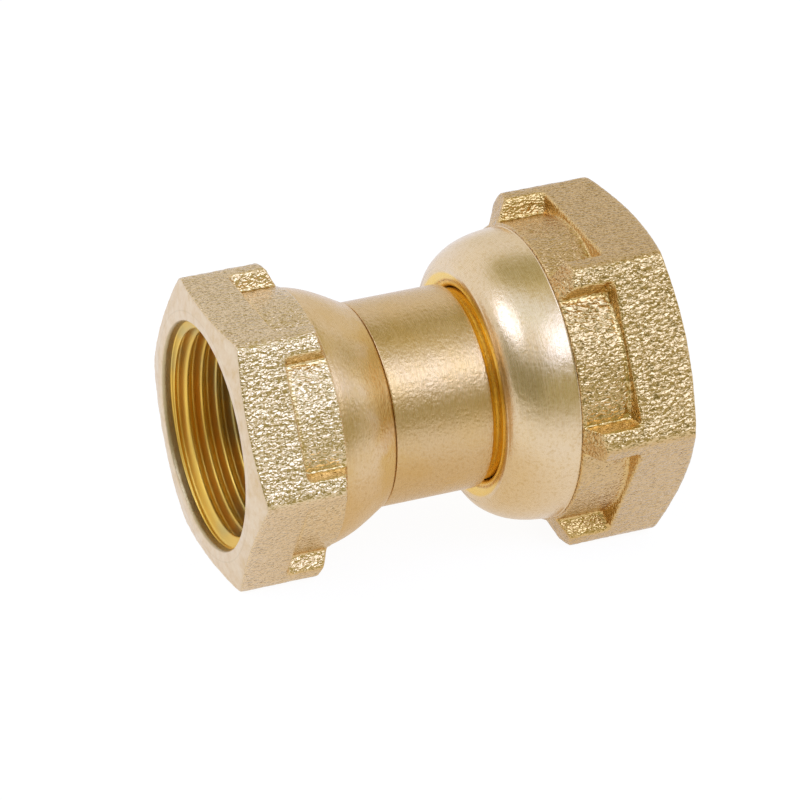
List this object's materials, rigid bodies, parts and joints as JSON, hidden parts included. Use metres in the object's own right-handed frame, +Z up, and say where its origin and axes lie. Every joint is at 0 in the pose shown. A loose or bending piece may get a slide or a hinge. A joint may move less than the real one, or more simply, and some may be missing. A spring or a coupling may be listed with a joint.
{
  "type": "swivel nut union fitting",
  "caption": "Brass pipe union: a round sleeve with a captive domed hexagon swivel nut on each end, one smaller than the other, internally threaded, with flat sealing washers.",
  "frame": {"origin": "on the waterway axis, half way between the two open ends", "axes": "+X along the waterway from the small nut to the large nut, +Z up, square to one pair of wrench flats on each nut"},
  "size_m": [0.0536, 0.0422, 0.0366],
  "materials": {
    "brass_cast": "hot-forged brass, blasted to a fine sparkling grain",
    "brass_turned": "turned brass, satin, fine marks running round it",
    "rubber": "matt black rubber sheet"
  },
  "bodies": {
    "spigot": {"sleeve": "brass_turned", "small_tailpiece": "brass_turned", "large_tailpiece": "brass_turned"},
    "small_washer": {"small_gasket": "rubber"},
    "small_swivel": {"small_nut": "brass_cast"},
    "large_washer": {"large_gasket": "rubber"},
    "large_swivel": {"large_nut": "brass_cast"}
  },
  "joints": [
    {"name": "small_play", "type": "slide", "parent": "spigot", "child": "small_washer", "axis": [-1, 0, 0], "range_m": [0, 0.0012]},
    {"name": "small_spin", "type": "hinge", "parent": "small_washer", "child": "small_swivel", "pos_m": [-0.0142, 0, 0], "axis": [1, 0, 0], "continuous": true},
    {"name": "large_play", "type": "slide", "parent": "spigot", "child": "large_washer", "axis": [1, 0, 0], "range_m": [-0.00085, 0.0005]},
    {"name": "large_spin", "type": "hinge", "parent": "large_washer", "child": "large_swivel", "pos_m": [0.012, 0, 0], "axis": [1, 0, 0], "continuous": true}
  ]
}
